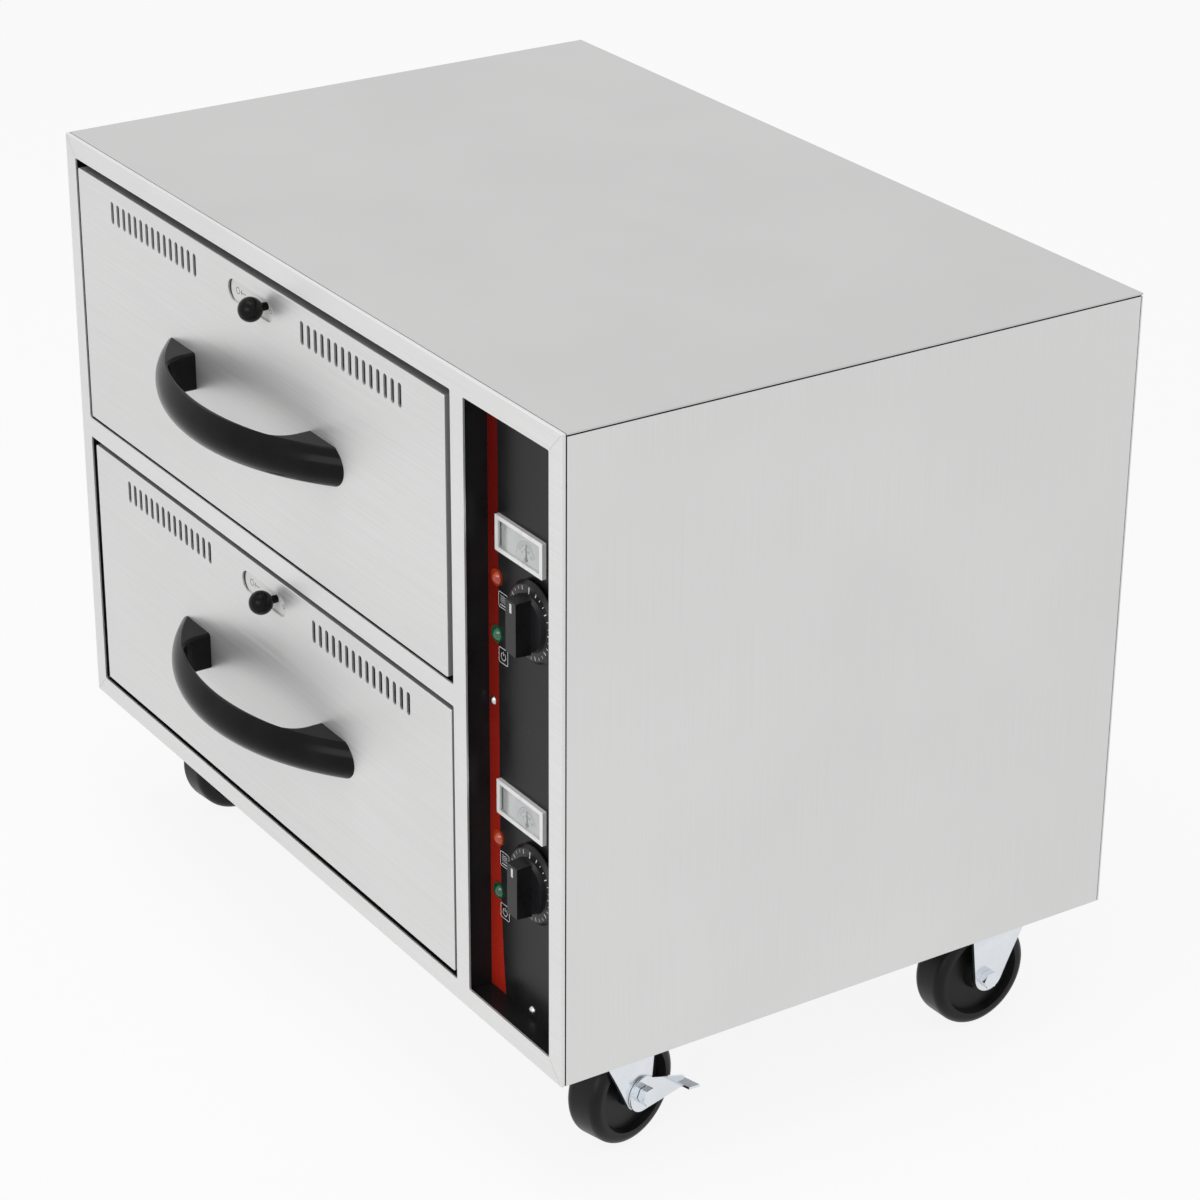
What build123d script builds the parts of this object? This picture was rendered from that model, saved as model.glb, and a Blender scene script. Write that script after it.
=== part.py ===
from build123d import *
import os
from math import asin, cos, sin, sqrt

# Two-drawer food warming cabinet on casters.
# Millimetres. X to the right, Y to the back, Z up. The origin lies on the floor
# under the middle of the whole object's box.

os.makedirs("parts", exist_ok=True)

# ---- cabinet ----
cab_width = 740.0
cab_depth = 490.0
cab_height = 497.0
caster_height = 110.0          # floor to the underside of the cabinet
sheet = 1.2                    # outer skins
frame_sheet = 1.5              # face plate and its returns
seam = 0.6                     # visible seam between face plate and top panel
side_seam = 1.1                # visible seams around the side panels
fit = 0.1                      # sheet laid inside sheet
edge_border = 16.0             # face plate left and right of the openings
edge_rail = 16.5               # face plate above and below the openings
stile_width = 17.0             # between drawers and control strip
mid_rail = 17.0                # between the drawers
recess_width = 108.5           # control opening
opening_radius = 1.5
face_edge_radius = 0.8
edge_return = 3.0              # visible side of the face plate
locating_flange = 15.0         # inner flange that the skins lie on
opening_return = 14.0          # folded edge of the drawer openings
panel_flange = 14.0            # folded edges of the skins
pan_flange = 20.0              # folded edges of the base pan

# ---- handles ----
handle_reach = 55.0
handle_half_length = 142.0
handle_height = 31.0
handle_crown = 8.0             # bulge of the handle's face over its height
handle_arch_half = 90.0        # finger arch at the drawer front
handle_arch_depth = 42.3
handle_arch_radius = 235.0
handle_arch_corner = 20.0
handle_arch_edge = 3.0
handle_drop = 94.0             # drawer front's top edge to the handle's top
handle_bolt_offset = 108.0
handle_bolt_radius = 2.5
handle_bolt_reach = 14.0
bolt_clearance = 0.15

# ---- back of the cabinet ----
gland_reach = 22.0
gland_inset = 60.0             # from the right edge
gland_rise = 70.0              # above the cabinet's underside
gland_thread = 8.0
gland_bore = 3.9
gland_nut = 12.0
gland_nut_length = 6.0
gland_thread_end = 2.0         # thread inside past its nut
gland_cap = 10.0
gland_cap_draft = 8.0          # degrees
back_vent_count = 10
back_vent_length = 46.0
back_vent_width = 5.0
back_vent_pitch = 14.0

# ---- drawers ----
front_side_gap = 5.75
front_end_gap = 4.75
front_sheet = 1.5
front_depth = 24.0
front_radius = 1.5
upper_front_shift = (-2.0, -2.4)   # how the upper front sits off centre, X and Z
lower_front_shift = (2.0, 0.0)
inner_sheet = 1.2
inner_lip = 8.0
inner_gap = 0.2
drawer_travel = 370.0
drawer_frame_depth = 370.0
drawer_frame_drop = 26.0       # opening's top edge to the drawer frame's top
drawer_frame_height = 60.0
drawer_sheet = 1.5
ledge_side = 15.25
ledge_end = 28.0
pan_rim = 7.5                  # rim lying on the ledge
pan_gap = 1.5
pan_depth = 150.0
pan_sheet = 1.0
pan_corner = 25.0
pan_taper = 3.0
pan_foot_radius = 15.0

# ---- vent slots and their slider ----
vent_count = 15
vent_pitch = 10.05
vent_slot_length = 18.5
vent_slot_width = 4.8
vent_first = 84.5              # drawer front's centre to the first slot of a group
vent_drop = 20.6               # drawer front's top edge to the row
window_length = 70.0
window_height = 17.0
window_shift = 5.0
slider_sheet = 1.2
slider_gap = 0.3
slider_height = 30.0
slider_end = 14.0              # plate past the last slot
slider_travel = 5.0
guide_thick = 1.2
guide_lap = 4.0
guide_width = 3.0
ball_radius = 9.5
ball_reach = 12.0              # ball's centre in front of the drawer front
ball_stem_radius = 3.0
ball_stem_draft = 1.0
ball_rivet_radius = 1.9
ball_rivet_head = 3.4
ball_rivet_thick = 1.0
ball_shift = 25.75             # ball at the middle of its travel, off the front's centre
ball_rise = 2.7                # ball above the slot row

# ---- telescopic slides ----
slide_length = 400.0
slide_height = 45.0
slide_depth = 19.0
slide_sheet = 1.5
slide_clearance = 0.5
slide_web_gap = 1.5
fixed_lip = 12.0
slide_start = 26.0             # behind the cabinet's face

# ---- cavities ----
liner_margin = 2.0             # liner outside the opening's edge
liner_sheet = 1.0
liner_start = 14.5
cavity_depth = 440.0           # behind the cabinet's face
wool_gap = 0.3
wool_flange_gap = 2.0          # to the folded edges of the skins
wool_plate_gap = 6.0           # to the caster plates and their bolts
wool_back = 470.0
wool_terminal_rise = 36.0      # wool above the element's ends
divider_gap = 0.5
divider_flange = 12.0

# ---- heating element ----
element_radius = 4.0
element_rise = 14.0            # above the opening's lower edge
element_pitch = 130.0
element_front = 70.0
element_rear = 400.0
element_tail = 22.0
terminal_radius = 1.6
terminal_length = 10.0
element_hole_gap = 0.4
clip_width = 14.0
clip_length = 12.0
clip_gap = 0.2

# ---- control strip ----
tray_margin = 1.5
tray_sheet = 1.2
tray_depth = 20.0
tray_flange = 5.0
control_pitch = 204.6          # lower set to upper set
thermometer_rise = 177.9       # above the cabinet's underside, lower set
lamp_rise = 142.0
power_lamp_rise = 98.8
knob_rise = 129.4
thermometer_inset = 43.2       # right of the control opening's left edge
lamp_inset = 11.0
knob_inset = 62.5
bezel_length = 61.0
bezel_height = 27.0
bezel_proud = 3.2
window_frame = 4.0              # bezel left and right of its window
window_rail = 3.25              # bezel above and below it
bezel_corner = 1.0
thermometer_body = 12.0
thermometer_wall = 1.6
dial_setback = 2.3
dial_sheet = 0.8
lens_setback = 0.6
lens_sheet = 0.8
snug = 0.2
needle_length = 11.0
needle_hub = 1.8
needle_root = 0.7
needle_flank = 87.0            # blade's side to its root, degrees
needle_pin_end = 2.0           # pin behind the dial
needle_pin = 0.8
needle_gap = 0.4
needle_thick = 0.4
needle_shift = (8.0, -7.0)
lamp_radius = 6.3
lamp_body_radius = 4.8
lamp_rim = 1.5
lamp_ledge = 1.0               # flat ring around the dome
lamp_dome = 3.0
lamp_body = 18.0
skirt_radius = 30.0
skirt_back = 17.0              # behind the cabinet's face
skirt_front = 13.5
skirt_rim = 1.0                # upright edge of the skirt
skirt_bevel = 2.5
skirt_dish = 0.5               # rise of the skirt towards the hub
knob_hub_radius = 20.0
knob_hub_draft = 1.3
knob_hub_front = 10.0
grip_width = 13.0
grip_length = 40.0
grip_front = -1.5
grip_root = 0.5                # grip sunk into the hub
grip_draft = 3.0               # degrees
knob_shaft_radius = 3.0
knob_shaft_end = 36.0
shaft_clearance = 0.05
bush_radius = 5.0
bush_proud = 1.8
thermostat_width = 44.0
thermostat_height = 40.0
thermostat_depth = 32.0
thermostat_corner = 3.0
shaft_end_gap = 0.5
bulb_radius = 3.0
bulb_length = 90.0
bulb_start = 200.0
bulb_drop = 8.0
capillary_radius = 1.0
capillary_root = 1.0           # tube sunk into its bulb
capillary_bend = 15.0
capillary_exit = 2.5           # tight bend beside the cavity wall
capillary_turn = 330.0         # where the capillary leaves the cavity

# ---- screws ----
screw_head_radius = 3.6
screw_head_height = 2.2
screw_shank_radius = 1.6
screw_length = 7.0
tray_screw_inset = 5.2

# ---- terminal block ----
block_length = 60.0
block_depth = 24.0
block_height = 20.0
block_shift = 8.0              # right of the control opening's middle
block_well_radius = 3.0
block_well = 3.0
block_screw_radius = 2.5
block_screw = 2.0
block_ways = 3
block_inset = 130.0            # in front of the back

# ---- casters ----
wheel_radius = 44.0
wheel_width = 31.0
tread_round = 7.0
rim_band = 10.0
hub_radius = 13.0
hub_half = 17.0
dish_depth = 6.0
dish_draft = 2.0
hub_draft = 1.0
caster_trail = 26.0
caster_side_inset = 62.0
caster_front_inset = 70.0
caster_back_inset = 48.0
plate_length = 92.0
plate_width = 64.0
plate_thick = 3.0
plate_corner = 6.0
plate_bolt_x = 37.0
plate_bolt_y = 24.0
bolt_radius = 4.0
bolt_hex_radius = 7.2
bolt_head = 5.3
bolt_end = 2.0                 # thread past its nut
race_radius = 26.0
race_height = 7.0
swivel_gap = 0.3
crown_radius = 24.0
crown_thick = 3.0
crown_ring = 3.0               # raised ring on the crown
crown_ring_outer = 22.0
crown_ring_inner = 15.0
crown_front = 20.0             # crown ahead of the swivel's axis
crown_rear = 43.0
leg_heel = 11.0                # leg's edges at the axle
leg_foot = 12.0
leg_toe = (15.0, 4.0)
leg_waist = (-1.0, 20.0)       # hollow of the front edge, from the swivel and the axle
king_radius = 5.0
king_head = 9.0
king_head_thick = 3.3
leg_thick = 2.5
leg_inner = 18.5
axle_radius = 4.0
axle_clearance = 0.08
axle_head = 6.0
head_gap = 0.1
lever_thick = 2.0
lever_gap = 0.3
lever_eye = 14.0
lever_reach = 46.0
lever_tab_length = 12.0
lever_tab_width = 17.0
lever_tab_rise = 1.5           # tab's slope to each side of its middle
lever_tip_drop = 5.5           # below the axle
lever_tip_height = 8.5
front_left_yaw = 6.0
front_right_yaw = 15.0
rear_left_yaw = 8.0
rear_right_yaw = 2.0

# ---- places worked out from the sizes ----
left_x = -cab_width / 2
right_x = cab_width / 2
front_y = (handle_reach - cab_depth - gland_reach) / 2
back_y = front_y + cab_depth
base_z = caster_height
top_z = base_z + cab_height
skin_y = front_y + edge_return + seam
opening_width = cab_width - 2 * edge_border - stile_width - recess_width
opening_height = (cab_height - 2 * edge_rail - mid_rail) / 2
bay_x = left_x + edge_border + opening_width / 2
recess_left = right_x - edge_border - recess_width
recess_x = recess_left + recess_width / 2
recess_height = cab_height - 2 * edge_rail
lower_opening_z = base_z + edge_rail
upper_opening_z = lower_opening_z + opening_height + mid_rail
front_width = opening_width - 2 * front_side_gap
front_height = opening_height - 2 * front_end_gap
liner_half = opening_width / 2 + liner_margin
liner_left = bay_x - liner_half
liner_right = bay_x + liner_half
tray_left = recess_left - tray_margin
tray_outer_left = tray_left - tray_sheet
divider_right = tray_outer_left - divider_gap
divider_left = divider_right - sheet
handle_plan_radius = (handle_half_length**2 + handle_reach**2) / (2 * handle_reach)
tray_floor_back = tray_depth + tray_sheet


def save(piece, node):
    """Label a finished piece and write it under its node's name."""
    piece.part.label = node
    export_step(piece.part, f"parts/{node}.step")


def front_plane(depth):
    """Plane facing the user at a depth behind the cabinet's face: local x is X, local y is Z."""
    return Plane.XZ.offset(-(front_y + depth))


def block(x_span, y_span, z_span, mode=Mode.ADD):
    """Box between two limits along each axis."""
    centre = [(span[0] + span[1]) / 2 for span in (x_span, y_span, z_span)]
    size = [abs(span[1] - span[0]) for span in (x_span, y_span, z_span)]
    with Locations(tuple(centre)):
        Box(*size, mode=mode)


def ring(plane, centre, size, wall, depth, radius=0.0):
    """Rectangular ring standing outwards from an inner size, extruded away from the user."""
    with BuildSketch(plane) as outline:
        with Locations(centre):
            if radius:
                RectangleRounded(size[0] + 2 * wall, size[1] + 2 * wall, radius + wall)
                RectangleRounded(size[0], size[1], radius, mode=Mode.SUBTRACT)
            else:
                Rectangle(size[0] + 2 * wall, size[1] + 2 * wall)
                Rectangle(size[0], size[1], mode=Mode.SUBTRACT)
    extrude(outline.sketch, amount=-depth)


def dome_mid(radius, height):
    """Point halfway along a spherical dome's outline: height above its foot, and radius."""
    sphere = (radius**2 + height**2) / (2 * height)
    half_angle = asin(radius / sphere) / 2
    return sphere * (cos(half_angle) - 1) + height, sphere * sin(half_angle)


def vent_row(centre, shift=0.0):
    """Two groups of upright round-ended slots, left and right of a centre."""
    half_group = (vent_count - 1) * vent_pitch / 2
    for side in (-1, 1):
        with Locations((centre[0] + side * (vent_first + half_group) + shift, centre[1])):
            with GridLocations(vent_pitch, 1, vent_count, 1):
                SlotOverall(vent_slot_length, vent_slot_width, rotation=90)


# ---- cabinet skins ----
cab_z = (base_z + top_z) / 2
inset = sheet + fit
openings = (
    ((bay_x, lower_opening_z + opening_height / 2), (opening_width, opening_height)),
    ((bay_x, upper_opening_z + opening_height / 2), (opening_width, opening_height)),
    ((recess_x, cab_z), (recess_width, recess_height)),
)

with BuildPart() as front_frame:
    with BuildSketch(front_plane(0)):
        with Locations((0, cab_z)):
            Rectangle(cab_width, cab_height)
        for centre, size in openings:
            with Locations(centre):
                RectangleRounded(size[0], size[1], opening_radius, mode=Mode.SUBTRACT)
    extrude(amount=-frame_sheet)
    inner_size = (cab_width - 2 * (inset + frame_sheet), cab_height - 2 * (inset + frame_sheet))
    ring(front_plane(0), (0, cab_z), inner_size, inset + frame_sheet, edge_return)
    ring(front_plane(0), (0, cab_z), inner_size, frame_sheet, locating_flange)
    for centre, size in openings[:2]:
        ring(front_plane(0), centre, size, frame_sheet, opening_return, opening_radius)
    face = front_frame.faces().sort_by(Axis.Y)[0]
    fillet(face.outer_wire().edges(), radius=face_edge_radius)
save(front_frame, "front_frame")

with BuildPart() as top_panel:
    block((left_x, right_x), (skin_y, back_y), (top_z - sheet, top_z))
    for side in (-1, 1):
        outer = side * (right_x - inset)
        block(
            (outer - side * sheet, outer),
            (front_y + locating_flange + seam, back_y - panel_flange - seam),
            (top_z - sheet - panel_flange, top_z - sheet),
        )
save(top_panel, "top_panel")

side_top_z = top_z - sheet - side_seam
skin_back_y = back_y - sheet
for side, node in ((-1, "left_side_panel"), (1, "right_side_panel")):
    with BuildPart() as side_panel:
        outer = side * right_x
        panel_y = (front_y + edge_return + side_seam, skin_back_y - seam)
        block((outer - side * sheet, outer), panel_y, (base_z, side_top_z))
        block(
            (outer - side * (sheet + panel_flange), outer - side * sheet),
            (skin_back_y - sheet, skin_back_y),
            (base_z + sheet + fit, side_top_z - panel_flange),
        )
        block(
            (outer - side * 2 * sheet, outer - side * sheet),
            (skin_back_y - 2 * sheet, skin_back_y - seam),
            (base_z + sheet + fit, side_top_z - panel_flange),
        )
        back_screw_x = outer - side * (sheet + panel_flange / 2)
        back_screw_zs = [base_z + cab_height * share for share in (0.15, 0.5, 0.85)]
        with BuildSketch(Plane.XZ.offset(-skin_back_y)):
            with Locations(*[(back_screw_x, z) for z in back_screw_zs]):
                Circle(screw_shank_radius + bolt_clearance)
        extrude(amount=2 * sheet, both=True, mode=Mode.SUBTRACT)
    save(side_panel, node)

gland_x = right_x - gland_inset
gland_z = base_z + gland_rise
with BuildPart() as back_panel:
    block((left_x, right_x), (skin_back_y, back_y), (base_z, side_top_z))
    with BuildSketch(Plane.XZ.offset(-back_y)):
        with Locations((gland_x, gland_z)):
            Circle(gland_thread + bolt_clearance)
        for side in (-1, 1):
            with Locations(*[(side * (right_x - sheet - panel_flange / 2), z) for z in back_screw_zs]):
                Circle(screw_shank_radius + bolt_clearance)
        with Locations((recess_x, cab_z + cab_height / 4)):
            with GridLocations(1, back_vent_pitch, 1, back_vent_count):
                SlotOverall(back_vent_length, back_vent_width)
    extrude(amount=2 * sheet, both=True, mode=Mode.SUBTRACT)
save(back_panel, "back_panel")

caster_places = (
    ("front_left", -right_x + caster_side_inset, front_y + caster_front_inset, front_left_yaw, 1),
    ("front_right", right_x - caster_side_inset, front_y + caster_front_inset, front_right_yaw, 1),
    ("rear_left", -right_x + caster_side_inset, back_y - caster_back_inset, rear_left_yaw, -1),
    ("rear_right", right_x - caster_side_inset, back_y - caster_back_inset, rear_right_yaw, -1),
)
plate_bolts = [
    (x + plate_bolt_x * i, y + plate_bolt_y * j)
    for _, x, y, _, _ in caster_places
    for i in (-1, 1)
    for j in (-1, 1)
]

with BuildPart() as base_pan:
    pan_half = right_x - inset
    pan_back = skin_back_y - fit
    pan_side_back = skin_back_y - 2 * sheet - seam
    block((-pan_half, pan_half), (skin_y, pan_back), (base_z, base_z + sheet))
    for side in (-1, 1):
        block(
            (side * (pan_half - sheet), side * pan_half),
            (front_y + locating_flange + seam, pan_side_back - sheet),
            (base_z, base_z + pan_flange),
        )
    back_half = right_x - sheet - panel_flange - seam
    block((-back_half, back_half), (pan_back - sheet, pan_back), (base_z, base_z + pan_flange))
    with BuildSketch(Plane.XY.offset(base_z)):
        with Locations(*plate_bolts):
            Circle(bolt_radius + bolt_clearance)
    extrude(amount=sheet, mode=Mode.SUBTRACT)
save(base_pan, "base_pan")

with BuildPart() as divider_wall:
    divider_y = (front_y + locating_flange + seam, pan_back - sheet - seam)
    divider_z = (base_z + sheet, top_z - sheet)
    block((divider_left, divider_right), divider_y, divider_z)
    flange_y = (front_y + tray_floor_back + seam, divider_y[1])
    for z in (divider_z[0], divider_z[1] - sheet):
        block((divider_right, divider_right + divider_flange), flange_y, (z, z + sheet))
    for opening_z in (lower_opening_z, upper_opening_z):
        with BuildSketch(Plane.YZ.offset(divider_left)):
            with Locations((front_y + capillary_turn, opening_z + opening_height - bulb_drop)):
                Circle(capillary_radius + snug)
        extrude(amount=sheet, mode=Mode.SUBTRACT)
save(divider_wall, "divider_wall")


# ---- cavities, insulation and heating ----
element_xs = [bay_x + element_pitch * step for step in (-1.5, -0.5, 0.5, 1.5)]


def cavity_liner(node, opening_z):
    """Box open to the front that a drawer runs in."""
    low = opening_z - liner_margin
    high = opening_z + opening_height + liner_margin
    depth = cavity_depth - liner_start
    centre = (bay_x, (low + high) / 2)
    with BuildPart() as liner:
        ring(front_plane(liner_start), centre, (2 * liner_half, high - low), liner_sheet, depth)
        with BuildSketch(front_plane(cavity_depth)):
            with Locations(centre):
                Rectangle(2 * (liner_half + liner_sheet), high - low + 2 * liner_sheet)
            element_z = opening_z + element_rise
            with Locations((element_xs[0], element_z), (element_xs[3], element_z)):
                Circle(element_radius + element_hole_gap, mode=Mode.SUBTRACT)
        extrude(amount=-liner_sheet)
        with BuildSketch(Plane.YZ.offset(liner_right)):
            with Locations((front_y + capillary_turn, opening_z + opening_height - bulb_drop)):
                Circle(capillary_radius + snug)
        extrude(amount=liner_sheet, mode=Mode.SUBTRACT)
    save(liner, node)


cavity_liner("lower_cavity_liner", lower_opening_z)
cavity_liner("upper_cavity_liner", upper_opening_z)

with BuildPart() as insulation_slabs:
    wool_y = (front_y + locating_flange + 2 * seam, front_y + wool_back)
    wool_z = (base_z + pan_flange + wool_flange_gap, top_z - panel_flange - sheet - wool_flange_gap)
    liner_outer = liner_margin + liner_sheet
    upper_top = upper_opening_z + opening_height + liner_outer
    lower_top = lower_opening_z + opening_height + liner_outer
    upper_low = upper_opening_z - liner_outer
    lower_low = lower_opening_z - liner_outer
    cavity_y = (wool_y[0], front_y + cavity_depth + liner_sheet)
    cavity_x = (liner_left, liner_right)
    wool_edge = liner_sheet + wool_gap
    block((left_x + sheet + wool_gap, liner_left - wool_edge), wool_y, wool_z)
    block((liner_right + wool_edge, divider_left - wool_gap), wool_y, wool_z)
    block(cavity_x, cavity_y, (upper_top + wool_gap, top_z - sheet - wool_gap))
    block(cavity_x, cavity_y, (lower_top + wool_gap, upper_low - wool_gap))
    block(cavity_x, cavity_y, (base_z + sheet + wool_gap, lower_low - wool_gap))
    for x, y in [(place[1], place[2]) for place in caster_places]:
        block(
            (x - plate_length / 2 - wool_plate_gap, x + plate_length / 2 + wool_plate_gap),
            (y - plate_width / 2 - wool_plate_gap, y + plate_width / 2 + wool_plate_gap),
            (base_z + sheet, lower_low),
            mode=Mode.SUBTRACT,
        )
    back_wool_y = (cavity_y[1] + wool_gap, wool_y[1])
    for opening_z, high in ((lower_opening_z, lower_top), (upper_opening_z, upper_top)):
        block(cavity_x, back_wool_y, (opening_z + wool_terminal_rise, high))
    for opening_z in (lower_opening_z, upper_opening_z):
        with BuildSketch(Plane.YZ.offset(liner_right + liner_sheet)):
            with Locations((front_y + capillary_turn, opening_z + opening_height - bulb_drop)):
                Circle(capillary_radius + 3 * snug)
        extrude(amount=divider_left - liner_right, mode=Mode.SUBTRACT)
save(insulation_slabs, "insulation_slabs")

with BuildPart() as heating_elements:
    for opening_z in (lower_opening_z, upper_opening_z):
        z = opening_z + element_rise
        bend = element_pitch / 2
        ys = [front_y + y for y in (cavity_depth + element_tail, element_front + bend, element_rear - bend)]
        with BuildLine() as element_path:
            for leg, x in enumerate(element_xs):
                far = ys[0] if leg in (0, 3) else ys[2]
                Line((x, far, z), (x, ys[1], z))
            for leg, y, way in ((0, ys[1], -1), (2, ys[1], -1), (1, ys[2], 1)):
                start_x, end_x = element_xs[leg], element_xs[leg + 1]
                ThreePointArc((start_x, y, z), (start_x + bend, y + way * bend, z), (end_x, y, z))
        with BuildSketch(Plane.XZ.offset(-ys[0])):
            with Locations((element_xs[0], z)):
                Circle(element_radius)
        sweep(path=element_path.wires()[0])
        with BuildSketch(Plane.XZ.offset(-ys[0])):
            with Locations((element_xs[0], z), (element_xs[3], z)):
                Circle(terminal_radius)
        extrude(amount=-terminal_length)
save(heating_elements, "heating_elements")

with BuildPart() as element_clips:
    for opening_z in (lower_opening_z, upper_opening_z):
        floor_z = opening_z - liner_margin
        axis_z = opening_z + element_rise
        with BuildSketch(front_plane((element_front + element_rear) / 2 - clip_length / 2)):
            for x in element_xs:
                with Locations((x, (floor_z + axis_z) / 2)):
                    Rectangle(clip_width, axis_z - floor_z)
                with Locations((x, axis_z)):
                    Circle(element_radius + clip_gap, mode=Mode.SUBTRACT)
        extrude(amount=-clip_length)
save(element_clips, "element_clips")


# ---- telescopic slides ----
def channel(side, z_mid, height, web, lip, y_span):
    """One slide member: an upright web with two lips, placed by distance from the liner's wall."""
    wall = bay_x + side * liner_half
    inward = 1 if lip > web else -1
    web_span = (wall - side * web, wall - side * (web + inward * slide_sheet))
    lip_span = (wall - side * web, wall - side * lip)
    block(web_span, y_span, (z_mid - height / 2, z_mid + height / 2))
    for end in (-1, 1):
        edge = z_mid + end * height / 2
        block(lip_span, y_span, (edge - end * slide_sheet, edge))


def slide_mid_z(opening_z):
    return opening_z + opening_height - drawer_frame_drop - drawer_frame_height / 2


mid_height = slide_height - 2 * (slide_sheet + slide_clearance)
inner_height = mid_height - 2 * (slide_sheet + slide_clearance)
mid_web = slide_sheet + slide_web_gap
mid_lip = slide_depth - slide_sheet - slide_web_gap
inner_lip_end = mid_web + slide_sheet + slide_web_gap
slide_y = (front_y + slide_start, front_y + slide_start + slide_length)
frame_y = (front_y + front_depth, front_y + front_depth + drawer_frame_depth)

with BuildPart() as fixed_slide_members:
    for opening_z in (lower_opening_z, upper_opening_z):
        for side in (-1, 1):
            channel(side, slide_mid_z(opening_z), slide_height, 0, fixed_lip, slide_y)
save(fixed_slide_members, "fixed_slide_members")


# ---- drawers ----
def drawer_front(level, centre):
    """Folded face of a drawer with its vent slots, window and slider guides."""
    top = centre[1] + front_height / 2
    row_z = top - vent_drop
    handle_z = top - handle_drop - handle_height / 2
    with BuildPart() as front:
        with BuildSketch(front_plane(0)):
            with Locations(centre):
                RectangleRounded(front_width, front_height, front_radius)
        extrude(amount=-front_depth)
        with BuildSketch(front_plane(front_sheet)):
            with Locations(centre):
                Rectangle(front_width - 2 * front_sheet, front_height - 2 * front_sheet)
        extrude(amount=-(front_depth - front_sheet), mode=Mode.SUBTRACT)
        face = front.faces().sort_by(Axis.Y)[0]
        fillet(face.outer_wire().edges(), radius=face_edge_radius)
        with BuildSketch(front_plane(0)):
            vent_row((centre[0], row_z))
            with Locations((centre[0] + window_shift, row_z)):
                SlotOverall(window_length, window_height)
            with Locations(*[(centre[0] + i * handle_bolt_offset, handle_z) for i in (-1, 1)]):
                Circle(handle_bolt_radius + bolt_clearance)
        extrude(amount=-front_sheet, mode=Mode.SUBTRACT)
        guide_half = slider_half() + slider_travel
        lip_y = front_y + front_sheet + 2 * slider_gap + slider_sheet
        for end in (-1, 1):
            edge = row_z + end * (slider_height / 2 + slider_gap)
            x_span = (centre[0] - guide_half, centre[0] + guide_half)
            block(x_span, (front_y + front_sheet, lip_y), (edge, edge + end * guide_width))
            block(x_span, (lip_y, lip_y + guide_thick), (edge - end * guide_lap, edge + end * guide_width))
    save(front, f"{level}_drawer_front")


def slider_half():
    """Half the length of the slotted plate."""
    return vent_first + (vent_count - 1) * vent_pitch + slider_end


def drawer_inner_panel(level, centre):
    """Plate that closes the back of a drawer front, with the air openings to the cavity."""
    width = front_width - 2 * (front_sheet + inner_gap)
    height = front_height - 2 * (front_sheet + inner_gap)
    row_z = centre[1] + front_height / 2 - vent_drop
    half_group = (vent_count - 1) * vent_pitch / 2
    with BuildPart() as inner:
        with BuildSketch(front_plane(front_depth - inner_sheet)):
            with Locations(centre):
                Rectangle(width, height)
            for side in (-1, 1):
                group_x = centre[0] + side * (vent_first + half_group)
                with Locations((group_x, row_z - vent_slot_length / 2)):
                    SlotOverall(2 * half_group + vent_slot_width, vent_slot_length / 2, mode=Mode.SUBTRACT)
        extrude(amount=-inner_sheet)
        lip_size = (width - 2 * inner_sheet, height - 2 * inner_sheet)
        ring(front_plane(front_depth - inner_lip), centre, lip_size, inner_sheet, inner_lip)
    save(inner, f"{level}_drawer_inner_panel")


def drawer_frame(level, opening_z):
    """Rectangular frame behind the front that carries the food pan on its ledge."""
    top = opening_z + opening_height - drawer_frame_drop
    half = liner_half - slide_depth
    y_mid = (frame_y[0] + frame_y[1]) / 2
    pan_width = 2 * (half - ledge_side)
    pan_length = drawer_frame_depth - 2 * ledge_end
    with BuildPart() as frame:
        with BuildSketch(Plane.XY.offset(top)):
            with Locations((bay_x, y_mid)):
                Rectangle(2 * half, drawer_frame_depth)
                inner_depth = drawer_frame_depth - 2 * drawer_sheet
                Rectangle(2 * (half - drawer_sheet), inner_depth, mode=Mode.SUBTRACT)
        extrude(amount=-drawer_frame_height)
        with BuildSketch(Plane.XY.offset(top)):
            with Locations((bay_x, y_mid)):
                Rectangle(2 * half, drawer_frame_depth)
                RectangleRounded(pan_width, pan_length, pan_corner, mode=Mode.SUBTRACT)
        extrude(amount=-drawer_sheet)
    save(frame, f"{level}_drawer_frame")
    food_pan(level, (bay_x, y_mid), top, pan_width, pan_length)


def tub(centre, top, size, corner, depth, foot):
    """Tapered block with rounded corners and a rounded foot, hanging down from its top face."""
    with BuildPart() as shape:
        with BuildSketch(Plane.XY.offset(top)):
            with Locations(centre):
                RectangleRounded(*size, corner)
        extrude(amount=-depth, taper=pan_taper)
        fillet(shape.faces().sort_by(Axis.Z)[0].edges(), radius=foot)
    return shape.part


def food_pan(level, centre, top, width, length):
    """Deep food pan hanging by its rim."""
    body = (width - 2 * pan_gap, length - 2 * pan_gap)
    hollow = (body[0] - 2 * pan_sheet, body[1] - 2 * pan_sheet)
    rounds = (pan_corner - pan_sheet, pan_foot_radius - pan_sheet)
    inside = tub(centre, top + pan_sheet, hollow, rounds[0], pan_depth - pan_sheet, rounds[1])
    with BuildPart() as pan:
        add(tub(centre, top + pan_sheet, body, pan_corner, pan_depth, pan_foot_radius))
        with BuildSketch(Plane.XY.offset(top)):
            with Locations(centre):
                RectangleRounded(width + 2 * pan_rim, length + 2 * pan_rim, pan_corner + pan_rim)
        extrude(amount=pan_sheet)
        add(inside, mode=Mode.SUBTRACT)
    save(pan, f"{level}_food_pan")


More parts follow.
